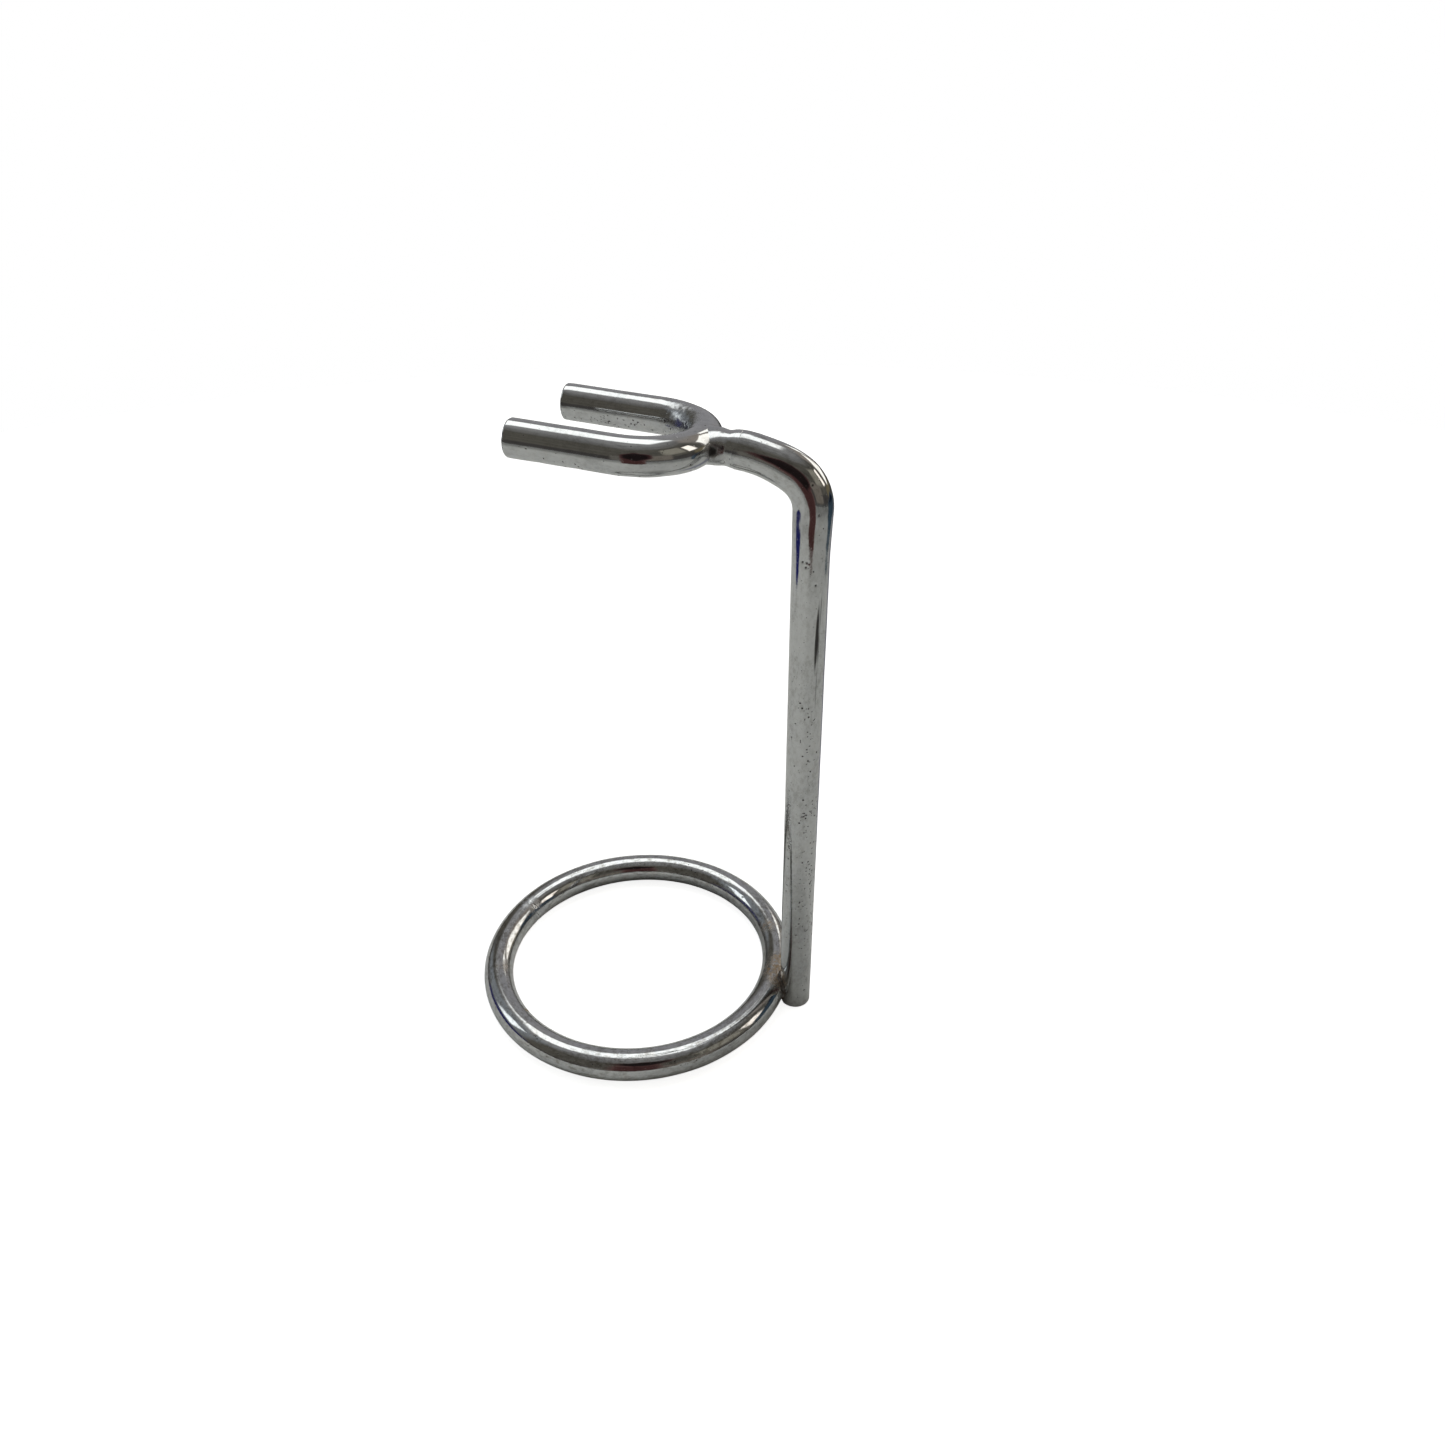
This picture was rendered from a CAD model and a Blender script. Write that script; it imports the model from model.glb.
"""Looks of the plated tube stand: detailed meshes, materials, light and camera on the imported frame.

Lengths are millimetres until a mesh is made, and constants and tables give angles in degrees.
"""

import functools
import math
import random

import bpy
import numpy as np
from mathutils import Euler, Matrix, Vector, noise


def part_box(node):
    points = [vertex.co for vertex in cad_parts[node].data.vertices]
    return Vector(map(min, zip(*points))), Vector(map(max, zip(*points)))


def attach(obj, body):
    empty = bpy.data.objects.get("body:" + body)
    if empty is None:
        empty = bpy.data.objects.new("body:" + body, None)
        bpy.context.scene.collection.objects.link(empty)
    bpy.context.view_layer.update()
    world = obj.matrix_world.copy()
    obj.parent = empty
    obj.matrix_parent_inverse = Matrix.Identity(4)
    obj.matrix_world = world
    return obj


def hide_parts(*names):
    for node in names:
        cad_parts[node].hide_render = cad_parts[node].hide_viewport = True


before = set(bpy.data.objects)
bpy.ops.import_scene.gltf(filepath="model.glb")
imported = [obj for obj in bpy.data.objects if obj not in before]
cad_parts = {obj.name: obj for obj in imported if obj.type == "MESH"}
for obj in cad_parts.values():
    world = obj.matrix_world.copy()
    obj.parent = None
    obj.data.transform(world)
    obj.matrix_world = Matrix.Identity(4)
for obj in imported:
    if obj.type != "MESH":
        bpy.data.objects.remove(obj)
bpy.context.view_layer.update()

MM = 0.001
SEED = 20


# -------------------- sizes

def box_mm(node):
    """Lowest and highest corner of a CAD node, in millimetres."""
    low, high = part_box(node)
    return np.array(low) / MM, np.array(high) / MM


HOOP_LOW, HOOP_HIGH = box_mm("base_ring")
POST_LOW, POST_HIGH = box_mm("upright_post")
FORK_HIGH = box_mm("fork")[1]

# Base hoop: radius of its bar, and radius to the middle of that bar
HOOP_BAR_R = (HOOP_HIGH[2] - HOOP_LOW[2]) / 2
HOOP_R = (HOOP_HIGH[1] - HOOP_LOW[1]) / 2 - HOOP_BAR_R
# Closing weld: direction from +X, and length along the hoop
SEAM_ANGLE = 257
SEAM_LENGTH = 1.4

# Upright post: radius of its bar, its place, and the two bends that make the arm
POST_BAR_R = (POST_HIGH[0] - POST_LOW[0]) / 2
POST_Y = POST_HIGH[1] - POST_BAR_R
BEND_START_Z = 102.6
BEND_R = 6.4
BEND_ANGLE = 57.5
SWEEP_R = 20
FOOT_BEVEL = 1.2
# Middle of the long gouge on the post: its height, and its section angle there
GOUGE_Z = 82
GOUGE_ANGLE = 43

# Fork: radius of its bar, distance from the middle to each prong, and its outline
FORK_BAR_R = 2.95
PRONG_X = FORK_HIGH[0] - FORK_BAR_R
FORK_CORNER_R = 10
PRONG_LENGTH = 16.4
FORK_RISE = 4.5
NECK_LENGTH = 2.5
# Pit under the neck's weld: millimetres from the arm's end, across, ahead and over
NECK_PIT = np.array([3.4, 2.8, 0.2])

# Rounding of the post's and the fork's cut ends
END_ROUND = 0.3


# -------------------- centre lines

class Line:
    """A bar's centre line: points, and the two unit directions that span its section.

    side and lift are the directions of the section's angles 0 and 90 degrees.
    """

    def __init__(self, points, side, lift):
        self.points = np.array(points, float)
        self.side = np.array(side, float)
        self.lift = np.array(lift, float)
        steps = np.linalg.norm(np.diff(self.points, axis=0), axis=1)
        self.along = np.concatenate([[0], np.cumsum(steps)])
        self.length = self.along[-1]

    def at(self, distance, field):
        """Value of points, side or lift at distances along the line."""
        return np.stack([np.interp(distance, self.along, field[:, k]) for k in range(3)], axis=1)


def hoop_line(start, end, count):
    """Part of the hoop between two directions from +X, seen from above anticlockwise."""
    turn = np.radians(np.linspace(start, end, count))
    out = np.stack([np.cos(turn), np.sin(turn), 0 * turn], axis=1)
    up = np.tile([0, 0, 1.0], (len(turn), 1))
    return Line(out * HOOP_R + [0, 0, HOOP_BAR_R], out, up)


def post_line():
    """Up the post, round the tight bend and along the gentle one to the arm's end."""
    heights = np.linspace(0, BEND_START_Z, 420)
    rows = [(POST_Y, z, 0.0) for z in heights]
    y, z = POST_Y, BEND_START_Z
    turned = 0.0
    steps = 90
    for radius, angle in ((BEND_R, BEND_ANGLE), (SWEEP_R, 90 - FORK_RISE - BEND_ANGLE)):
        step = math.radians(angle) / steps
        for _ in range(steps):
            middle = turned + step / 2
            chord = 2 * radius * math.sin(step / 2)
            y -= chord * math.sin(middle)
            z += chord * math.cos(middle)
            turned += step
            rows.append((y, z, turned))
    rows = np.array(rows)
    a = rows[:, 2]
    points = np.stack([0 * a, rows[:, 0], rows[:, 1]], axis=1)
    side = np.tile([1.0, 0, 0], (len(a), 1))
    outer = np.stack([0 * a, np.cos(a), np.sin(a)], axis=1)
    return Line(points, side, outer)


# Half of the closing weld's sweep, in degrees
HALF_SEAM = math.degrees(SEAM_LENGTH / 2 / HOOP_R)
HOOP = hoop_line(SEAM_ANGLE + HALF_SEAM, SEAM_ANGLE + 360 - HALF_SEAM, 1441)
POST = post_line()
RISE_RADIANS = math.radians(FORK_RISE)
# The fork's own directions: across, towards the prongs, and up
ACROSS = np.array([1.0, 0, 0])
AHEAD = np.array([0, -math.cos(RISE_RADIANS), math.sin(RISE_RADIANS)])
OVER = np.array([0, math.sin(RISE_RADIANS), math.cos(RISE_RADIANS)])
ARM_END = POST.points[-1]
FORK_BACK = ARM_END + AHEAD * (NECK_LENGTH + FORK_BAR_R)


def from_arm_end(place):
    """Turns places given across, ahead of and over the arm's end into the frame's own."""
    return ARM_END + place[..., :1] * ACROSS + place[..., 1:2] * AHEAD + place[..., 2:] * OVER


def fork_line():
    """From the tip of the -X prong, round the back, to the tip of the +X prong."""
    reach = FORK_CORNER_R + PRONG_LENGTH
    flat = PRONG_X - FORK_CORNER_R
    corner = np.radians(np.linspace(0, 90, 61))
    left = [(-PRONG_X, d) for d in np.linspace(reach, FORK_CORNER_R, 60)]
    for t in corner[1:]:
        left.append((-flat - FORK_CORNER_R * math.cos(t), FORK_CORNER_R * (1 - math.sin(t))))
    right = [(-x, d) for x, d in reversed(left)]
    plan = np.array(left + right)
    heading = np.gradient(plan, axis=0)
    heading /= np.linalg.norm(heading, axis=1)[:, None]
    points = FORK_BACK + np.outer(plan[:, 0], ACROSS) + np.outer(plan[:, 1], AHEAD)
    tangent = np.outer(heading[:, 0], ACROSS) + np.outer(heading[:, 1], AHEAD)
    over = np.tile(OVER, (len(plan), 1))
    return Line(points, np.cross(over, tangent), over)


FORK = fork_line()


# -------------------- mesh helpers

def smooth_step(low, high, value):
    """0 below low, 1 above high, and smooth between."""
    t = np.clip((value - low) / (high - low), 0, 1)
    return t * t * (3 - 2 * t)


def bell(value, middle, width):
    """A smooth bump of height 1 around middle."""
    return np.exp(-((value - middle) / width) ** 2)


def soft_noise(points, size, offset):
    """Smooth noise between about -1 and 1 whose lumps are about size millimetres across."""
    shift = Vector((offset * 7.3, offset * 3.1, offset * 11.7))
    flat = points.reshape(-1, 3) / size
    values = [noise.noise(Vector(p) + shift) for p in flat]
    return np.array(values).reshape(points.shape[:-1])


def end_stations(rim):
    """Rows that close a bar's end, from near its centre to its rounded rim.

    Each row has its distance along the bar, its inset and its share of the radius.
    """
    rings, steps = 7, 5
    face = [(0.0, rim, k / rings) for k in range(1, rings)]
    turn = [math.radians(90 * k / steps) for k in range(steps)]
    return face + [(rim * (1 - math.cos(t)), rim * (1 - math.sin(t)), 1.0) for t in turn]


def section_directions(angle, side, lift):
    """Unit directions at angles in radians round a section, for each place along a line."""
    across = np.cos(angle)[:, None] * side[:, None, :]
    return across + np.sin(angle)[:, None] * lift[:, None, :]


def bar_rows(line, spacing, rim):
    """Distances, insets and radius shares of the rows of a bar that is closed at both ends."""
    start = end_stations(rim)
    count = round((line.length - 2 * rim) / spacing)
    body = [(d, 0.0, 1.0) for d in np.linspace(rim, line.length - rim, count + 1)]
    finish = [(line.length - d, inset, share) for d, inset, share in reversed(start)]
    return np.array(start + body + finish).T


class Bar:
    """A round bar's vertices on a grid of rows along it and columns round it."""

    def __init__(self, line, radius, spacing, sides, rim):
        self.line = line
        self.radius = radius
        self.along, inset, share = bar_rows(line, spacing, rim)
        self.angle = np.arange(sides) * 2 * np.pi / sides
        self.middle = line.at(self.along, line.points)
        side = line.at(self.along, line.side)
        lift = line.at(self.along, line.lift)
        self.out = section_directions(self.angle, side, lift)
        self.reach = np.tile(((radius - inset) * share)[:, None], (1, sides))
        self.share = np.tile(share[:, None], (1, sides))
        # The place of each vertex on the bar as if it were straight, in millimetres
        self.straight = np.empty(self.reach.shape + (3,))
        self.straight[..., 0] = self.along[:, None]
        self.straight[..., 1] = radius * np.cos(self.angle)
        self.straight[..., 2] = radius * np.sin(self.angle)
        self.marks = {}
        # How far each vertex is moved straight up
        self.lifted = 0.0

    def raise_by(self, height):
        """Moves the surface out by height, fading to nothing at the centres of the end faces."""
        self.reach = self.reach + height * self.share

    def places(self):
        """The place of each vertex now."""
        found = self.middle[:, None, :] + self.out * self.reach[..., None]
        found[..., 2] += self.lifted
        return found

    def distance_to(self, along, angle):
        """Distance of each vertex from a spot given by distance along and section angle."""
        turn = math.radians(angle)
        spot = np.array([along, self.radius * math.cos(turn), self.radius * math.sin(turn)])
        return np.linalg.norm(self.straight - spot, axis=2)

    def mark(self, name, values):
        """Keeps the strongest value of a named mark at each vertex."""
        old = self.marks.get(name)
        self.marks[name] = values if old is None else np.maximum(old, values)


MARKS = ("pits", "rust", "haze", "grime")


def add_object(name, data):
    """Puts a mesh or a camera in the scene."""
    made = bpy.data.objects.new(name, data)
    bpy.context.scene.collection.objects.link(made)
    return made


def make_piece(name, node, grid, material):
    """Makes the piece that stands for a CAD node.

    grid is vertices in millimetres, faces, the vertices' straightened places, and their marks.
    """
    vertices, faces, straight, marks = grid
    mesh = bpy.data.meshes.new(name)
    mesh.from_pydata((np.array(vertices) * MM).tolist(), [], faces)
    mesh.polygons.foreach_set("use_smooth", [True] * len(mesh.polygons))
    place = mesh.attributes.new("straight", "FLOAT_VECTOR", "POINT")
    place.data.foreach_set("vector", np.array(straight, np.float32).ravel())
    for mark in MARKS:
        layer = mesh.attributes.new(mark, "FLOAT", "POINT")
        values = marks.get(mark, np.zeros(len(vertices)))
        layer.data.foreach_set("value", np.array(values, np.float32).ravel())
    mesh.materials.append(material)
    mesh.validate()
    mesh.update()
    piece = add_object(name, mesh)
    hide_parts(node)
    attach(piece, "root")


def grid_faces(rows, sides):
    """Quads between neighbouring rows of a grid that wraps round."""
    faces = []
    for i in range(rows - 1):
        for j in range(sides):
            k = (j + 1) % sides
            first = i * sides
            second = first + sides
            faces.append((first + j, first + k, second + k, second + j))
    return faces


def closed_grid(places, straight, marks):
    """Vertices, faces, straightened places and marks of a grid closed by a fan at both ends."""
    rows, sides = places.shape[:2]
    vertices = np.concatenate([places.reshape(-1, 3), [places[0].mean(0), places[-1].mean(0)]])
    flat = np.concatenate([straight.reshape(-1, 3), [straight[0].mean(0), straight[-1].mean(0)]])
    faces = grid_faces(rows, sides)
    first, last = rows * sides, rows * sides + 1
    end = (rows - 1) * sides
    faces += [(first, (j + 1) % sides, j) for j in range(sides)]
    faces += [(last, end + j, end + (j + 1) % sides) for j in range(sides)]
    kept = {}
    for name, mark in marks.items():
        kept[name] = np.concatenate([mark.ravel(), [mark[0].mean(), mark[-1].mean()]])
    return vertices, faces, flat, kept


def bar_piece(name, node, bar, material):
    """Makes the piece of a bar."""
    make_piece(name, node, closed_grid(bar.places(), bar.straight, bar.marks), material)


def pit(bar, along, angle, radius, depth):
    """Sinks a small crater with a slight rim."""
    d = bar.distance_to(along, angle) / radius
    bar.raise_by(-depth * np.exp(-d ** 2) + 0.12 * depth * np.exp(-((d - 1.6) / 0.5) ** 2))
    bar.mark("pits", np.exp(-(d / 0.9) ** 4))


def pit_cluster(bar, draw, along, angle, count, spread, around,
                radius=(0.10, 0.24), depth=(0.03, 0.07)):
    """Scatters pits about a spot: spread is millimetres along the bar, around is degrees."""
    for _ in range(count):
        pit(bar, draw.gauss(along, spread), draw.gauss(angle, around),
            draw.uniform(*radius), draw.uniform(*depth))


# -------------------- node helpers

class Graph:
    """Adds nodes to a node tree and joins them."""

    def __init__(self, tree):
        self.tree = tree

    def node(self, kind, inputs=None, **settings):
        made = self.tree.nodes.new(kind)
        for key, value in settings.items():
            setattr(made, key, value)
        for key, value in (inputs or {}).items():
            self.set(made.inputs[key], value)
        return made

    def set(self, socket, value):
        if isinstance(value, bpy.types.NodeSocket):
            self.tree.links.new(value, socket)
        else:
            socket.default_value = value

    def math(self, operation, first, second=0.0, clamp=False):
        inputs = {0: first, 1: second}
        return self.node("ShaderNodeMath", inputs, operation=operation, use_clamp=clamp).outputs[0]

    def add(self, first, second, clamp=False):
        return self.math("ADD", first, second, clamp)

    def less(self, first, second):
        return self.math("SUBTRACT", first, second)

    def largest(self, *values):
        return functools.reduce(lambda one, other: self.math("MAXIMUM", one, other), values)

    def product(self, *values):
        return functools.reduce(lambda one, other: self.math("MULTIPLY", one, other), values)

    def vector(self, operation, first, second=(0.0, 0.0, 0.0), result="Vector"):
        made = self.node("ShaderNodeVectorMath", {0: first, 1: second}, operation=operation)
        return made.outputs[result]

    def dot(self, vector, axis):
        return self.vector("DOT_PRODUCT", vector, axis, "Value")

    def scaled(self, vector, factors):
        return self.vector("MULTIPLY", vector, factors)

    def step(self, value, low, high, start=0.0, end=1.0):
        """Smooth change from start at low to end at high."""
        made = self.node("ShaderNodeMapRange", {"Value": value, "From Min": low, "From Max": high,
                                                "To Min": start, "To Max": end},
                         interpolation_type="SMOOTHSTEP")
        return made.outputs["Result"]

    def mix(self, factor, first, second):
        """The first colour where the factor is 0, and the second where it is 1."""
        made = self.node("ShaderNodeMix", {"Factor": factor}, data_type="RGBA")
        ends = [socket for socket in made.inputs if socket.type == "RGBA"]
        self.set(ends[0], first)
        self.set(ends[1], second)
        return [socket for socket in made.outputs if socket.type == "RGBA"][0]

    def noise(self, vector, scale, detail=2.0, roughness=0.5, distortion=0.0):
        made = self.node("ShaderNodeTexNoise", {"Vector": vector, "Scale": scale, "Detail": detail,
                                                "Roughness": roughness, "Distortion": distortion})
        return made.outputs["Fac"]

    def attribute(self, name, vector=False):
        made = self.node("ShaderNodeAttribute", attribute_name=name)
        return made.outputs["Vector" if vector else "Fac"]


def colour(red, green, blue):
    return (red, green, blue, 1.0)


def new_material(name):
    """A node material and its graph, which starts with Blender's own shader and output in it."""
    material = bpy.data.materials.new(name)
    material.use_nodes = True
    return material, Graph(material.node_tree)


def join_output(graph, shader, kind="ShaderNodeOutputMaterial"):
    """Joins a shader node to an output node of its own."""
    graph.set(graph.node(kind).inputs["Surface"], shader.outputs[0])


def join_mixed(graph, factor, first, second):
    """Joins the first shader node where the factor is 0, and the second where it is 1."""
    inputs = {0: factor, 1: first.outputs[0], 2: second.outputs[0]}
    join_output(graph, graph.node("ShaderNodeMixShader", inputs))


# -------------------- materials

CHROME = colour(0.60, 0.607, 0.60)
DULL_CHROME = colour(0.455, 0.465, 0.475)
PIT_BLACK = colour(0.03, 0.028, 0.026)
RUST_BROWN = colour(0.25, 0.16, 0.075)
GRIME_BROWN = colour(0.07, 0.055, 0.045)
DIRTY_FILM = colour(0.26, 0.25, 0.225)
BROWN_TINT = colour(0.60, 0.50, 0.42)
VIOLET_TINT = colour(0.52, 0.50, 0.62)


def speck_mask(graph, place, scale, density, size, shift=0.0):
    """Small round dark specks.

    scale is cells per millimetre, density the share of cells that hold a speck, and shift
    moves the pattern to make a second one.
    """
    shifted = graph.vector("ADD", place, (shift, shift * 2.0, 0.0))
    cells = graph.node("ShaderNodeTexVoronoi", {"Vector": shifted, "Scale": scale})
    pick = graph.node("ShaderNodeSeparateColor", {0: cells.outputs["Color"]})
    chosen = graph.math("LESS_THAN", pick.outputs[0], density)
    reach = graph.product(pick.outputs[1], size)
    edge = graph.less(graph.add(reach, size * 0.4), cells.outputs["Distance"])
    return graph.product(chosen, graph.step(edge, 0.0, 0.06))


def tinted(graph, place, metal, amount):
    """Faint brown and violet discolouring in separate patches."""
    brown = graph.noise(place, 0.21, 4.0, 0.6, 0.4)
    violet = graph.noise(graph.vector("ADD", place, (31.0, 17.0, 5.0)), 0.14, 2.0)
    metal = graph.mix(graph.step(brown, 0.56, 0.74, 0.0, amount), metal, BROWN_TINT)
    return graph.mix(graph.step(violet, 0.56, 0.72, 0.0, amount), metal, VIOLET_TINT)


def filmed(graph, place, broad, metal, amount):
    """A thin dirty film, mottled and drawn out a little along the bar."""
    drawn = graph.noise(graph.scaled(place, (0.55, 1.0, 1.0)), 1.5, 6.0, 0.75)
    thick = graph.product(graph.step(drawn, 0.42, 0.66), graph.step(broad, 0.30, 0.60, 0.35, 1.0))
    return graph.mix(graph.product(thick, amount), metal, DIRTY_FILM)


def plating_holes(graph, place, specks):
    """The marked pits, and specks that gather in patches."""
    gather = graph.step(graph.noise(place, 0.33, 3.0, 0.6), 0.45, 0.65, 0.25, 1.0)
    tiny = speck_mask(graph, place, 1.9, specks, 0.17)
    small = speck_mask(graph, place, 1.1, specks * 0.4, 0.14, 9.0)
    dots = graph.product(graph.largest(tiny, small), gather)
    return graph.largest(dots, graph.step(graph.attribute("pits"), 0.25, 0.8))


def rust_and_grime(graph, place):
    """Rust in broken patches, and grime packed into corners, where the mesh is marked."""
    broken = graph.step(graph.noise(place, 1.4, 5.0, 0.7, 0.6), 0.34, 0.62)
    rusty = graph.product(graph.step(graph.attribute("rust"), 0.05, 0.75), broken)
    patchy = graph.step(graph.noise(place, 2.2, 3.0, 0.6), 0.25, 0.6, 0.55, 1.0)
    return rusty, graph.product(graph.attribute("grime"), patchy)


def set_relief(graph, shader, height):
    """Bumps a shader's surface by a height in micrometres."""
    bump = graph.node("ShaderNodeBump", {"Strength": 1.0, "Distance": 1e-6, "Height": height})
    graph.set(shader.inputs["Normal"], bump.outputs["Normal"])


def plated(name, roughness, haze_amount, peel, grain, specks, tint_amount, film):
    """Worn bright plating over steel.

    haze_amount is the general clouding. peel and grain are the heights in micrometres of the
    plating's gentle and fine unevenness. specks is the share of cells with a tiny pit,
    tint_amount the discolouring and film the strength of a mottled dirty film.
    """
    material, graph = new_material(name)
    shader = graph.tree.nodes["Principled BSDF"]
    place = graph.attribute("straight", vector=True)
    haze = graph.attribute("haze")
    broad = graph.noise(place, 0.16, 3.0, 0.6)
    fine = graph.noise(place, 1.9, 4.0, 0.65)

    # Clouding: broad patches with a finer mottle inside
    patches = graph.math("MULTIPLY", graph.step(broad, 0.42, 0.72), haze_amount, clamp=True)
    mottled = graph.product(haze, graph.step(fine, 0.3, 0.7, 0.45, 1.0))
    cloud = graph.add(patches, mottled, clamp=True)
    holes = plating_holes(graph, place, specks)
    rusty, dirty = rust_and_grime(graph, place)

    dullness = graph.product(cloud, graph.step(fine, 0.35, 0.65, 0.4, 1.0))
    metal = graph.mix(dullness, CHROME, DULL_CHROME)
    metal = tinted(graph, place, metal, tint_amount)
    metal = filmed(graph, place, broad, metal, film)
    surface = graph.mix(rusty, metal, RUST_BROWN)
    surface = graph.mix(dirty, surface, GRIME_BROWN)
    surface = graph.mix(graph.product(holes, 0.92), surface, PIT_BLACK)
    graph.set(shader.inputs["Base Color"], surface)

    covered = graph.largest(graph.product(rusty, 0.75), graph.product(dirty, 0.7))
    graph.set(shader.inputs["Metallic"], graph.less(1.0, covered))

    rough = graph.step(fine, 0.25, 0.75, roughness * 0.8, roughness * 1.25)
    rough = graph.add(rough, graph.product(cloud, 0.12))
    rough = graph.add(rough, graph.step(haze, 0.6, 1.0, 0.0, 0.11))
    rough = graph.add(rough, graph.product(graph.largest(rusty, dirty), 0.4))
    rough = graph.add(rough, graph.product(holes, 0.35), clamp=True)
    graph.set(shader.inputs["Roughness"], rough)

    # Relief: gentle unevenness, fine scratches along the bar, rust crust and sunken specks
    streaky = graph.noise(graph.scaled(place, (0.16, 3.2, 3.2)), 1.3, 3.0, 0.7)
    scratch = graph.step(streaky, 0.60, 0.72)
    patchy = graph.step(broad, 0.35, 0.65, 0.35, 1.0)
    relief = graph.product(graph.noise(place, 0.55, 2.0, 0.45), peel)
    relief = graph.add(relief, graph.product(fine, patchy, grain))
    relief = graph.less(relief, graph.product(scratch, 0.5))
    relief = graph.add(relief, graph.product(rusty, 2.0))
    relief = graph.add(relief, graph.product(cloud, fine, 2.0))
    set_relief(graph, shader, graph.less(relief, graph.product(holes, 14.0)))
    return material


def weld_metal(name, roughness, dirt):
    """Weld metal under the plating: duller and lumpier than the bars, with dirt in its hollows."""
    material, graph = new_material(name)
    shader = graph.tree.nodes["Principled BSDF"]
    place = graph.attribute("straight", vector=True)
    mottle = graph.noise(place, 1.3, 5.0, 0.65)
    hollow = graph.step(graph.noise(place, 2.4, 4.0, 0.7), 0.55, 0.75, 0.0, dirt)
    pits = graph.step(graph.attribute("pits"), 0.3, 0.8)
    covered = graph.largest(hollow, graph.attribute("grime"), pits)
    rust = graph.step(graph.attribute("rust"), 0.05, 0.7)
    rusty = graph.product(rust, graph.step(mottle, 0.4, 0.6))

    metal = graph.mix(graph.step(mottle, 0.35, 0.7), CHROME, DULL_CHROME)
    surface = graph.mix(covered, graph.mix(rusty, metal, RUST_BROWN), GRIME_BROWN)
    graph.set(shader.inputs["Base Color"], surface)
    dulled = graph.product(graph.largest(covered, rusty), 0.6)
    graph.set(shader.inputs["Metallic"], graph.less(1.0, dulled))
    rough = graph.step(mottle, 0.3, 0.7, roughness * 0.7, roughness * 1.4)
    rough = graph.add(rough, graph.product(covered, 0.35), clamp=True)
    graph.set(shader.inputs["Roughness"], rough)
    lumps = graph.product(graph.noise(place, 5.0, 3.0), 4.0)
    set_relief(graph, shader, graph.add(graph.product(mottle, 14.0), lumps))
    return material


# -------------------- pieces

def along_hoop(angle):
    """Distance along the hoop's line to a direction from +X."""
    return math.radians((angle - SEAM_ANGLE) % 360) * HOOP_R - SEAM_LENGTH / 2


def hoop_waves(where):
    """The slight unevenness of the hoop, which runs on through its closing weld."""
    return 0.025 * soft_noise(where, 7.0, 1) + 0.012 * soft_noise(where, 2.6, 2)


# Rust on the hoop, most of it at the post: direction from +X, section angle, size, strength
HOOP_RUST = (
    (91, 76, 2.8, 1.0), (97, 80, 2.2, 0.8), (86, 62, 2.2, 0.7), (90, 30, 2.0, 0.6),
    (118, 112, 2.0, 0.6), (147, 60, 1.2, 0.4), (-34, 140, 0.9, 0.8), (-62, 120, 2.4, 0.35),
)
# Pits on the hoop: direction from +X, section angle, count
HOOP_PITS = ((170, 120, 5), (38, 30, 7), (137, 150, 5), (-20, 60, 6), (60, 130, 5))


def build_hoop(material):
    """The base hoop: slightly uneven, hazed, stained near the post and scuffed at the seam."""
    draw = random.Random(SEED)
    bar = Bar(HOOP, HOOP_BAR_R, spacing=0.2, sides=88, rim=0.04)
    where = bar.places()
    bar.raise_by(hoop_waves(where))
    bar.mark("haze", 0.28 + 0.45 * soft_noise(where, 9.0, 3))
    for angle, section, size, strength in HOOP_RUST:
        bar.mark("rust", strength * bell(bar.distance_to(along_hoop(angle), section), 0, size))
    bar.mark("grime", 0.95 * bell(bar.distance_to(along_hoop(90), 0), 0, 2.6))
    for angle, section, count in HOOP_PITS:
        place = along_hoop(angle)
        pit_cluster(bar, draw, place, section, count, 2.2, 16, (0.13, 0.24), (0.015, 0.04))
    pit_cluster(bar, draw, bar.line.length / 2, 60, 22, 60, 60, (0.12, 0.2), (0.01, 0.03))
    # Both sides of the closing weld were ground dull
    from_seam = np.minimum(bar.along, bar.line.length - bar.along)[:, None] + 0 * bar.reach
    bar.mark("haze", bell(from_seam, 0, 2.2))
    bar.raise_by(-0.012 * bell(from_seam, 1.2, 0.9) * (0.6 + soft_noise(where, 1.2, 4)))
    bar_piece("hoop_bar", "base_ring", bar, material)


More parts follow.
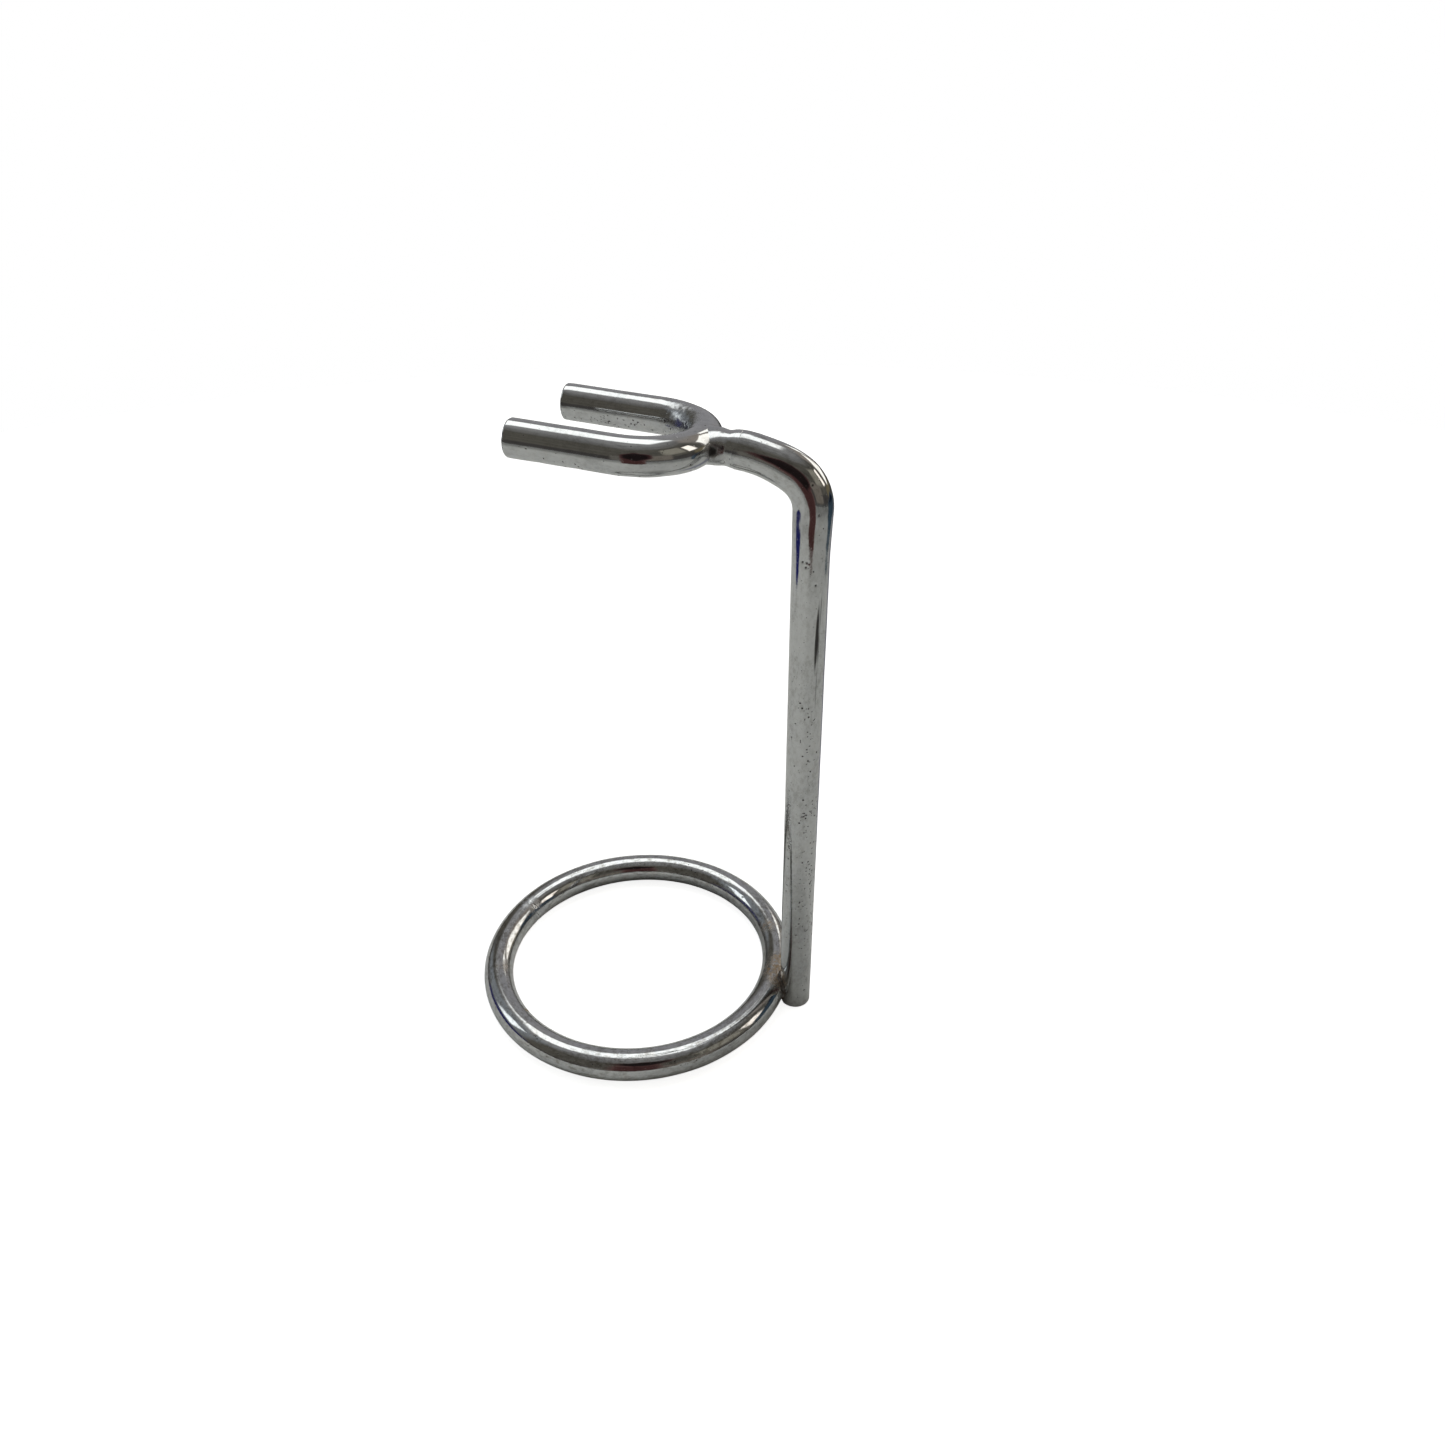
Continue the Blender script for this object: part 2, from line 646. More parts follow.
def build_seam_weld(material):
    """The hoop's closing weld: lumpy, ground nearly flush, with both its ends sunk in the hoop."""
    line = hoop_line(SEAM_ANGLE - 2 * HALF_SEAM, SEAM_ANGLE + 2 * HALF_SEAM, 41)
    bar = Bar(line, HOOP_BAR_R, spacing=0.07, sides=96, rim=0.05)
    where = bar.places()
    # 0 at the weld's middle and 1 at its ends, with a wavy edge between
    from_middle = np.abs(bar.along - line.length / 2)[:, None] / (line.length / 2)
    wavy = from_middle + 0.35 * soft_noise(bar.straight * [0, 1, 1] + [5, 0, 0], 1.4, 8)
    lumps = 0.012 * soft_noise(where, 0.9, 5) + 0.008 * soft_noise(where, 0.4, 6)
    ground = -0.015 * (1 - smooth_step(0.15, 0.75, wavy))
    below = smooth_step(-0.2, -0.8, np.sin(bar.angle))
    bar.raise_by(hoop_waves(where))
    bar.raise_by(ground * (1 - below) - 0.05 * below)
    bar.raise_by(lumps * (1 - smooth_step(0.5, 0.9, from_middle)))
    bar.raise_by(-0.30 * smooth_step(0.52, 1.0, wavy))
    bar.mark("grime", 0.5 * bell(wavy, 0.62, 0.14))
    bar.mark("haze", 0.8 + 0 * bar.reach)
    draw = random.Random(SEED + 1)
    pit_cluster(bar, draw, line.length / 2, 130, 6, 0.45, 26, (0.12, 0.22), (0.04, 0.1))
    bar_piece("hoop_seam_weld", "ring_seam_weld", bar, material)


# Pits on the post's near side and then its far side: height, section angle, count, spread
# along and spread round
POST_PITS = (
    (95.2, -14, 2, 0.3, 4), (95.0, 2, 2, 0.3, 3), (91.5, 30, 1, 0.2, 2),
    (69.5, -2, 3, 0.5, 6), (68.3, 12, 5, 0.9, 7), (67.5, 36, 4, 1.0, 7),
    (64.0, 25, 4, 1.6, 10), (56.0, 20, 9, 4.0, 22), (47.3, 20, 7, 0.6, 5),
    (47.6, 50, 8, 0.8, 9), (43.5, 28, 5, 1.6, 5), (33.5, 55, 10, 0.9, 6),
    (29.8, 58, 8, 1.4, 6), (28.5, 28, 6, 1.6, 6), (20, 46, 9, 3.0, 10),
    (12.5, 40, 8, 3.0, 18), (5.0, 50, 6, 1.2, 12), (22, 76, 12, 3.2, 4),
    (44, -35, 18, 12.0, 5), (47, 45, 24, 9.0, 20), (30, 40, 30, 8.0, 24),
    (38, 80, 12, 12.0, 4),
    (88, 150, 6, 3.0, 14), (71, 205, 8, 3.0, 14), (52, 160, 7, 3.0, 14),
    (36, 240, 8, 3.0, 14), (24, 185, 9, 3.0, 14), (11, 140, 7, 3.0, 14),
)


def swell_bend(bar, where):
    """Bending: the outside stands out a little, the inside less, and both ripple."""
    s = bar.along[:, None]
    outer = np.sin(bar.angle)
    bend_end = BEND_START_Z + BEND_R * math.radians(BEND_ANGLE)
    into_bend = smooth_step(BEND_START_Z - 9, BEND_START_Z + 4, s)
    in_bend = into_bend * (1 - smooth_step(bend_end, bend_end + 6, s))
    swollen = 0.38 * np.clip(outer, 0, 1) ** 2 + 0.10 * np.clip(-outer, 0, 1) ** 2
    bar.raise_by(in_bend * swollen)
    bar.raise_by(0.022 * soft_noise(where, 7.0, 11) + 0.007 * soft_noise(where, 2.5, 12))
    bar.raise_by(in_bend * (0.035 * soft_noise(where, 2.4, 13)))


def gouge_post(bar):
    """A long shallow gouge with a dark bottom, and a thin scored line beside it."""
    s = bar.along[:, None]
    # The gouge slants half a degree round the bar for each millimetre up it
    aside = bar.radius * np.radians(np.degrees(bar.angle) - GOUGE_ANGLE - 0.5 * (s - GOUGE_Z))
    depth = bell(s, GOUGE_Z, 6.5)
    bar.raise_by(-0.20 * depth * bell(aside, 0, 0.42))
    bar.mark("pits", np.clip(1.1 * depth * bell(aside, -0.1, 0.38), 0, 1))
    scored = smooth_step(66, 70, s) * (1 - smooth_step(88, 94, s))
    bar.raise_by(-0.03 * scored * bell(aside, 0.35, 0.16))
    bar.mark("pits", 0.62 * scored * bell(aside, 0.35, 0.15))


def build_post(material):
    """The upright bar and its arm: swollen at the bend, gouged, bevelled at the foot and pitted."""
    draw = random.Random(SEED + 2)
    bar = Bar(POST, POST_BAR_R, spacing=0.2, sides=96, rim=END_ROUND)
    where = bar.places()
    s = bar.along[:, None]
    swell_bend(bar, where)
    gouge_post(bar)
    # The arm's end is ground down to meet the weld, along an uneven edge
    to_end = bar.line.length - s + 0.35 * soft_noise(bar.straight * [0, 1, 1], 1.6, 14)
    crease = 0.04 + 0.12 * smooth_step(0.2, 1.0, np.sin(bar.angle))
    bar.raise_by(-crease * (1 - smooth_step(0.0, 1.2, to_end)))
    bevel_foot(bar)

    for height, angle, count, spread, around in POST_PITS:
        pit_cluster(bar, draw, height, angle, count, spread, around)
    pit_cluster(bar, draw, 60, 0, 40, 34, 120, (0.12, 0.2), (0.02, 0.05))
    low = 1 - smooth_step(10, 95, s)
    bar.mark("haze", (0.12 + 0.5 * low) * (0.6 + 0.5 * soft_noise(where, 8.0, 15)))
    bar.mark("haze", 0.7 * bell(to_end, 0.4, 0.8))
    # Dirt and rust where the post meets the hoop
    bar.mark("grime", 0.9 * bell(bar.distance_to(HOOP_BAR_R, 270), 0, 2.3))
    bar.mark("rust", 0.6 * bell(bar.distance_to(6.5, 285), 0, 1.6))
    bar_piece("post_bar", "upright_post", bar, material)


def bevel_foot(bar):
    """Bevels the post's lower corner on the hoop's side, by lifting what is low there."""
    places = bar.places()
    deep = places[..., 1] - (POST_Y - POST_BAR_R)
    lowest = np.clip(FOOT_BEVEL - deep, 0, None)
    height = places[..., 2]
    # Vertices below the top of the zone are squeezed into what the bevel leaves of it
    zone = FOOT_BEVEL * 2.5
    squeezed = lowest + height * (zone - lowest) / zone
    bar.lifted = np.where(height < zone, squeezed - height, 0)


def wear_fork_ends(bar, where):
    """Each prong's cut end has an uneven rim, and the near one a nick."""
    s = bar.along[:, None]
    total = bar.line.length
    at_ends = bell(total - s, 0, 0.9) + bell(s, 0, 0.9)
    bar.raise_by(at_ends * (0.05 * soft_noise(where, 1.1, 23) - 0.03))
    nick = bar.distance_to(total, 20)
    bar.raise_by(-0.13 * bell(nick, 0, 0.34))
    bar.mark("grime", 0.7 * bell(nick, 0, 0.25))


def roughen_far_side(bar, where, draw):
    """Rough, blotchy metal inside the back of the U on the far side, and pits along that prong."""
    s = bar.along[:, None]
    half = bar.line.length / 2
    corner = PRONG_LENGTH + FORK_CORNER_R * math.radians(50)
    begins = smooth_step(PRONG_LENGTH - 1, PRONG_LENGTH + 5, s)
    reach = begins * (1 - smooth_step(half, half + 4, s))
    rough = reach * smooth_step(0.60, -0.30, np.cos(bar.angle))
    bar.raise_by(rough * (0.050 * soft_noise(where, 1.3, 24) + 0.028 * soft_noise(where, 0.5, 25)))
    bar.mark("haze", rough)
    # The same roughness runs out thinly along the top of that prong
    on_prong = smooth_step(2, 9, s) * (1 - smooth_step(corner, corner + 6, s))
    crest = on_prong * bell(np.sin(bar.angle), 1, 0.3)
    bar.raise_by(crest * 0.010 * soft_noise(where, 0.7, 28))
    pit_cluster(bar, draw, corner, 190, 22, 3.0, 24, (0.12, 0.30), (0.03, 0.09))
    pit_cluster(bar, draw, 10, 215, 60, 6.0, 16, (0.09, 0.20), (0.02, 0.05))


# Dimples under the near prong: millimetres back from its end, section angle
FORK_DIMPLES = ((5, -60), (11, -75), (19, -62), (24, -66))


def build_fork(material):
    """The U-shaped bar: worn plating, rough inside its back, with dimples under the near prong."""
    draw = random.Random(SEED + 3)
    bar = Bar(FORK, FORK_BAR_R, spacing=0.19, sides=96, rim=END_ROUND)
    where = bar.places()
    total = bar.line.length
    bar.raise_by(0.026 * soft_noise(where, 6.0, 21) + 0.010 * soft_noise(where, 2.2, 22))
    wear_fork_ends(bar, where)
    roughen_far_side(bar, where, draw)
    for back, angle in FORK_DIMPLES:
        spot = bar.distance_to(total - back, angle)
        bar.raise_by(-0.05 * bell(spot, 0, 1.1))
        bar.mark("haze", 0.5 * bell(spot, 0, 0.9))
    pit_cluster(bar, draw, total - 12, -40, 10, 7.0, 26, (0.12, 0.22), (0.02, 0.05))
    pit_cluster(bar, draw, total / 2, 40, 8, 9.0, 40, (0.12, 0.22), (0.02, 0.05))
    under = smooth_step(0.1, -0.7, np.sin(bar.angle))
    bar.mark("haze", 0.55 * under * (0.7 + 0.5 * soft_noise(where, 3.0, 26)))
    bar.mark("haze", 0.10 + 0.2 * soft_noise(where, 6.0, 27))
    # Dirt round the pit that the neck's weld left
    from_pit = np.linalg.norm(where - from_arm_end(NECK_PIT), axis=2)
    bar.mark("grime", bell(from_pit, 0, 1.3))
    bar.mark("pits", bell(from_pit, 0, 0.9))
    bar_piece("fork_bar", "fork", bar, material)


# Neck weld: radius where it leaves the arm, and half its width where it spreads on the fork
NECK_WAIST_R = 2.96
NECK_FLARE = 4.4


def neck_point(turn, t):
    """A point on the neck, turn radians round it and a share t of the way from arm to fork.

    It is given across, ahead of and over the arm's end, on a smooth curve with a set
    place and direction at both ends.
    """
    side, up = math.cos(turn), math.sin(turn)
    lead = np.array([NECK_WAIST_R * side, -1.0, NECK_WAIST_R * up])
    lead_slope = np.array([0.0, 4.56, 0.0])
    # The curve's foot lies on the back of the fork's bar, which falls away round the corners
    x = NECK_FLARE * side
    z = 2.78 * up
    back = math.sqrt(FORK_BAR_R ** 2 - z ** 2)
    droop = FORK_CORNER_R - math.sqrt(FORK_CORNER_R ** 2 - max(abs(x) - 0.7, 0) ** 2)
    foot = np.array([x, NECK_LENGTH + FORK_BAR_R - back + droop * 0.9 + 0.25, z])
    foot_slope = np.array([side * 3.4, 0.9, 0.0])
    return ((2 * t ** 3 - 3 * t ** 2 + 1) * lead + (t ** 3 - 2 * t ** 2 + t) * lead_slope
            + (-2 * t ** 3 + 3 * t ** 2) * foot + (t ** 3 - t ** 2) * foot_slope)


def build_neck_weld(material):
    """The ground neck of weld metal that flares from the arm's end onto the back of the fork."""
    sides, rows = 96, 46
    turns = np.arange(sides) * 2 * math.pi / sides
    shares = np.linspace(0, 1, rows)
    local = np.array([[neck_point(turn, share) for turn in turns] for share in shares])
    lumps = soft_noise(local, 1.8, 31) * 0.08 + soft_noise(local, 0.8, 32) * 0.012
    fade = np.sin(np.pi * shares) ** 0.5
    from_axis = local * [1, 0, 1]
    away = from_axis / np.linalg.norm(from_axis, axis=2, keepdims=True)
    waist = -0.24 * bell(local[..., 1], 1.2, 0.9)
    local = local + away * (lumps * fade[:, None] + waist)[..., None]
    # The pit left under the weld on the +X side, where it meets the fork
    from_pit = np.linalg.norm(local - NECK_PIT, axis=2)
    local = local - away * (0.5 * bell(from_pit, 0, 0.8))[..., None]
    marks = {
        "pits": bell(from_pit, 0, 0.9),
        "grime": bell(from_pit, 0, 1.15),
        "haze": 0.4 + 0 * from_pit,
    }
    # Shifted along, so that the neck's clouding isn't the arm's
    straight = local + [40, 0, 0]
    grid = closed_grid(from_arm_end(local), straight, marks)
    make_piece("neck_weld_metal", "neck_weld", grid, material)


def foot_seam_point(turn):
    """The point turn radians round the curve where the post meets the hoop's outer side."""
    widest = math.radians(53)
    swing = widest * math.sin(turn)
    x = POST_BAR_R * math.sin(swing)
    y = POST_Y - POST_BAR_R * math.cos(swing)
    out = math.hypot(x, y) - HOOP_R
    rise = math.sqrt(max(HOOP_BAR_R ** 2 - out ** 2, 0.0))
    # The curve runs over the hoop's middle on one half of its turn, and under it on the other
    return np.array([x, y, HOOP_BAR_R + rise * math.copysign(1, math.cos(turn))])


def build_foot_weld(material):
    """A small uneven bead of weld metal all round the joint of the post and the hoop."""
    rows, sides = 160, 28
    turns = np.linspace(0, 2 * math.pi, rows, endpoint=False)
    path = np.array([foot_seam_point(t) for t in turns])
    smoothings = 6
    for _ in range(smoothings):
        path = (np.roll(path, 1, axis=0) + path * 2 + np.roll(path, -1, axis=0)) / 4
    heading = np.roll(path, -1, axis=0) - np.roll(path, 1, axis=0)
    heading /= np.linalg.norm(heading, axis=1)[:, None]
    inward = np.array([0, POST_Y - POST_BAR_R, HOOP_BAR_R]) - path
    inward -= (inward * heading).sum(1)[:, None] * heading
    inward /= np.linalg.norm(inward, axis=1)[:, None]
    angle = np.arange(sides) * 2 * np.pi / sides
    out = section_directions(angle, inward, np.cross(heading, inward))
    # The bead's radius: rippled and uneven, and thinner near the bench
    ripple = 0.025 * np.sin(turns * 23)[:, None]
    size = 0.52 + ripple + 0.10 * soft_noise(path, 1.3, 41)[:, None]
    thinned = 1 - 0.45 * smooth_step(1.6, 0.4, path[:, 2])[:, None]
    places = path[:, None, :] + out * (size * thinned)[..., None]
    places = places + out * (0.08 * soft_noise(places, 0.6, 42))[..., None]
    off_bench = 0.04
    places[..., 2] = np.maximum(places[..., 2], off_bench)
    vertices = places.reshape(-1, 3)
    faces = grid_faces(rows, sides)
    last = (rows - 1) * sides
    faces += [(last + j, last + (j + 1) % sides, (j + 1) % sides, j) for j in range(sides)]
    marks = {
        "rust": np.full(len(vertices), 0.6),
        "grime": 0.85 + 0.25 * soft_noise(vertices, 1.0, 43),
    }
    grid = vertices, faces, vertices, marks
    make_piece("foot_weld_bead", "foot_weld", grid, material)


# -------------------- light

def to_linear(level):
    """A screen level from 0 to 255 as a share of white light."""
    level /= 255
    return level / 12.92 if level <= 0.04045 else ((level + 0.055) / 1.055) ** 2.4


def in_chrome(red, green, blue):
    """Light that something must give to look this colour (0 to 255) when seen in the plating."""
    levels = (red, green, blue)
    return tuple(to_linear(level) / share for level, share in zip(levels, CHROME)) + (1.0,)


# Soft-edged bright rectangles on far walls: wall, left, right, bottom, top, softness, light.
# The wall is its azimuth in degrees from +X, or None for the ceiling. The edges are
# distances on the wall, which is one unit away, and level 0 is the stand's own height.
CARDS = {
    "cool side": (-80, -0.9, 0.35, 0.22, 2.0, 0.35, in_chrome(110, 114, 117)),
    "far side": (-162, -0.62, 0.28, 0.02, 1.6, 0.25, in_chrome(124, 124, 126)),
    "warm side": (150, -0.45, 0.4, 0.15, 1.5, 0.4, in_chrome(122, 116, 110)),
    "warm wall": (75, -0.3, 0.28, 0.3, 0.95, 0.15, in_chrome(121, 118, 108)),
    "low olive": (130, -0.5, 0.4, 0.02, 0.22, 0.1, in_chrome(95, 88, 70)),
    "low warm strip": (52, -0.35, 0.3, -0.12, 0.30, 0.1, in_chrome(98, 93, 86)),
    "low shelf": (-4, -0.18, 0.14, -0.16, 0.24, 0.1, in_chrome(85, 83, 78)),
    "blue patch": (-90, -0.2, 0.2, -0.4, 0.22, 0.05, in_chrome(45, 46, 78)),
    "cool window": (-79, -0.18, 0.10, 0.32, 0.88, 0.05, colour(1.75, 1.85, 1.9)),
    "narrow window": (103, -0.13, 0.13, 0.28, 0.80, 0.05, colour(1.9, 1.75, 1.6)),
    "wide window": (145, -0.30, 0.28, 0.17, 0.77, 0.05, colour(1.8, 1.75, 1.65)),
    "end window": (171, -0.07, 0.06, 0.36, 0.68, 0.04, colour(1.8, 1.78, 1.72)),
    "panel glow": (None, -0.95, 0.22, -0.80, 0.35, 0.35, in_chrome(122, 122, 122)),
    "overhead panel": (None, -0.76, -0.06, -0.62, -0.02, 0.12, colour(1.8, 1.84, 1.84)),
    "overhead panel, far part": (None, -0.60, -0.06, -0.15, 0.22, 0.12, colour(1.8, 1.84, 1.84)),
}


def card_mask(graph, look, card):
    """1 where the direction looks at the card, 0 elsewhere, with a soft edge."""
    wall, left, right, bottom, top, soft, _ = card
    if wall is None:
        ahead, aside, up = (0, 0, 1), (1, 0, 0), (0, 1, 0)
    else:
        a = math.radians(wall)
        ahead, aside, up = (math.cos(a), math.sin(a), 0), (-math.sin(a), math.cos(a), 0), (0, 0, 1)
    # Directions that are level with the wall or face away from it see nothing of it
    least = 0.05
    depth = graph.dot(look, ahead)
    front = graph.math("GREATER_THAN", depth, least)
    safe = graph.largest(depth, least)
    across = graph.math("DIVIDE", graph.dot(look, aside), safe)
    height = graph.math("DIVIDE", graph.dot(look, up), safe)
    half = soft / 2
    return graph.product(
        front,
        graph.step(across, left - half, left + half),
        graph.step(across, right - half, right + half, 1.0, 0.0),
        graph.step(height, bottom - half, bottom + half),
        graph.step(height, top - half, top + half, 1.0, 0.0))


# The room behind the cards: its lowest light, and then each change with height: the sines
# of the angles up where it starts and ends, and the light above
LOW_LIGHT = in_chrome(96, 98, 96)
LIGHT_CHANGES = (
    (-0.30, -0.08, in_chrome(62, 60, 58)),
    (0.08, 0.15, in_chrome(77, 75, 69)),
    (0.70, 0.94, in_chrome(112, 112, 111)),
    (0.95, 0.99, in_chrome(128, 128, 126)),
)


def build_world():
    """A dim room with bright soft cards round the object; the camera itself sees plain white."""
    world = bpy.data.worlds.new("studio")
    bpy.context.scene.world = world
    world.use_nodes = True
    graph = Graph(world.node_tree)
    world.node_tree.nodes.clear()
    look = graph.node("ShaderNodeTexCoord").outputs["Generated"]
    height = graph.dot(look, (0, 0, 1))
    sky = LOW_LIGHT
    for start, end, light in LIGHT_CHANGES:
        sky = graph.mix(graph.step(height, start, end), sky, light)
    # Shelves, corners and shadows of the room, as faint level streaks
    streaks = graph.noise(graph.scaled(look, (1.3, 1.3, 6.0)), 2.2, 4.0, 0.6)
    shaded = graph.scaled(sky, (0.55, 0.56, 0.58))
    sky = graph.mix(graph.step(streaks, 0.35, 0.65, 0.0, 0.55), sky, shaded)
    for card in CARDS.values():
        sky = graph.mix(card_mask(graph, look, card), sky, card[-1])
    seen = graph.node("ShaderNodeLightPath").outputs["Is Camera Ray"]
    final = graph.mix(seen, sky, colour(1, 1, 1))
    lamp = graph.node("ShaderNodeBackground", {"Color": final, "Strength": 1.0})
    join_output(graph, lamp, "ShaderNodeOutputWorld")


def bench_shade(graph, place):
    """How bright each place on the bench, in metres, looks in the plating."""
    away = graph.vector("LENGTH", place, result="Value")
    from_foot = graph.vector("DISTANCE", place, (0.018, 0.040, 0.0), "Value")
    # In shade close to the stand, falling off towards the edge, and lighter in front
    near = graph.step(from_foot, 0.008, 0.042, 0.70, 1.0)
    far = graph.step(away, 0.19, 0.38, 1.0, 0.50)
    ahead = graph.step(graph.dot(place, (0, 1, 0)), -0.02, 0.10, 1.14, 1.0)
    # Darkest right under the hoop's far side
    from_hoop = graph.math("ABSOLUTE", graph.less(away, HOOP_R * MM))
    behind = graph.step(graph.dot(place, (-1, 0, 0)), 0.003, 0.018)
    under = graph.product(behind, graph.step(from_hoop, 0.004, 0.018, 0.45, 0.0))
    return graph.product(near, far, ahead, graph.less(1.12, under))


def blue_beyond(graph, place):
    """1 where something dull blue lies on the bench beyond the post; place is in metres."""
    bearing = math.radians(158)
    from_post = graph.vector("NORMALIZE", graph.vector("SUBTRACT", place, (0, POST_Y * MM, 0)))
    facing = graph.dot(from_post, (math.cos(bearing), math.sin(bearing), 0))
    away = graph.vector("LENGTH", place, result="Value")
    return graph.product(graph.step(facing, 0.975, 0.993), graph.step(away, 0.05, 0.09, 0.0, 0.8))


def bench_material():
    """Near white to the camera, and shaded as bench_shade says in reflections."""
    material, graph = new_material("pale_bench")
    graph.tree.nodes.clear()
    seen = graph.node("ShaderNodeLightPath").outputs["Is Camera Ray"]
    place = graph.node("ShaderNodeTexCoord").outputs["Object"]
    grain = graph.noise(place, 60.0, 4.0, 0.6)
    pale = graph.mix(grain, colour(0.78, 0.79, 0.775), colour(0.84, 0.85, 0.83))
    blue = graph.product(blue_beyond(graph, place), graph.less(1.0, seen))
    pale = graph.mix(blue, pale, colour(0.30, 0.31, 0.42))
    shade = {0: pale, "Scale": bench_shade(graph, place)}
    dimmed = graph.node("ShaderNodeVectorMath", shade, operation="SCALE").outputs["Vector"]
    matt = graph.node("ShaderNodeBsdfDiffuse", {"Color": pale})
    reflected = graph.node("ShaderNodeBsdfDiffuse", {"Color": dimmed})
    glow = graph.node("ShaderNodeEmission", {"Color": colour(1, 1, 1), "Strength": 0.85})
    both = graph.node("ShaderNodeAddShader", {0: matt.outputs[0], 1: glow.outputs[0]})
    join_mixed(graph, seen, reflected, both)
    return material


def build_floor():
    """A plain pale bench top, a round sheet just below the stand, in metres."""
    radius, level = 0.55, -0.00005
    turns = [math.radians(a) for a in range(0, 360, 3)]
    edge = [(radius * math.cos(turn), radius * math.sin(turn), level) for turn in turns]
    mesh = bpy.data.meshes.new("bench_top")
    mesh.from_pydata(edge, [], [list(range(len(edge)))])
    mesh.materials.append(bench_material())
    add_object("bench_top", mesh)


# Upright dark things near the stand, which show only in the plating. Lengths are millimetres
# and azimuths degrees from +X. taper is the height over which the foot narrows, and fade the
# height over which it dissolves.
DARK_CARDS = (
    dict(name="clothing", azimuth=16.4, distance=231, width=148, bottom=0, top=232,
         taper=6, fade=6,
         middle=in_chrome(58, 38, 37), edge=in_chrome(84, 66, 63), crown=in_chrome(76, 62, 60)),
    dict(name="camera_and_hands", azimuth=21.0, distance=160, width=132, bottom=92, top=220,
         taper=38, fade=2,
         middle=in_chrome(24, 19, 19), edge=in_chrome(66, 44, 44), crown=in_chrome(28, 22, 22)),
    dict(name="blue_box", azimuth=-71, distance=174, width=152, bottom=0, top=31,
         taper=17, fade=3,
         middle=in_chrome(26, 28, 76), edge=in_chrome(40, 42, 84), crown=in_chrome(30, 32, 78)),
    dict(name="teal_box", azimuth=117, distance=236, width=214, bottom=0, top=120,
         taper=16, fade=12,
         middle=in_chrome(44, 58, 68), edge=in_chrome(60, 70, 78), crown=in_chrome(10, 16, 28)),
)


def dark_card_material(card):
    """Its colour changes from the middle to the sides and to the top, and its outline is soft."""
    material, graph = new_material(card["name"])
    graph.tree.nodes.clear()
    place = graph.node("ShaderNodeTexCoord").outputs["UV"]
    split = graph.node("ShaderNodeSeparateXYZ", {0: place})
    level = split.outputs[1]
    height = card["top"] - card["bottom"]
    # Distance from the card's middle, as a share of its width, with the narrowing added
    off = graph.math("ABSOLUTE", graph.less(split.outputs[0], 0.5))
    shoulders = graph.step(level, 0.60, 1.0, 0.0, 0.40)
    ankles = graph.step(level, 0.0, card["taper"] / height, 0.30, 0.0)
    off = graph.add(off, graph.add(shoulders, ankles))
    solid = graph.product(
        graph.step(off, 0.40, 0.5, 1.0, 0.0),
        graph.step(level, 0.94, 1.0, 1.0, 0.0),
        graph.step(level, 0.0, card["fade"] / height))
    tone = graph.mix(graph.step(level, 0.45, 0.75), card["middle"], card["crown"])
    tone = graph.mix(graph.step(off, 0.30, 0.44), tone, card["edge"])
    dark = graph.node("ShaderNodeEmission", {"Color": tone, "Strength": 1.0})
    clear = graph.node("ShaderNodeBsdfTransparent")
    join_mixed(graph, solid, clear, dark)
    return material


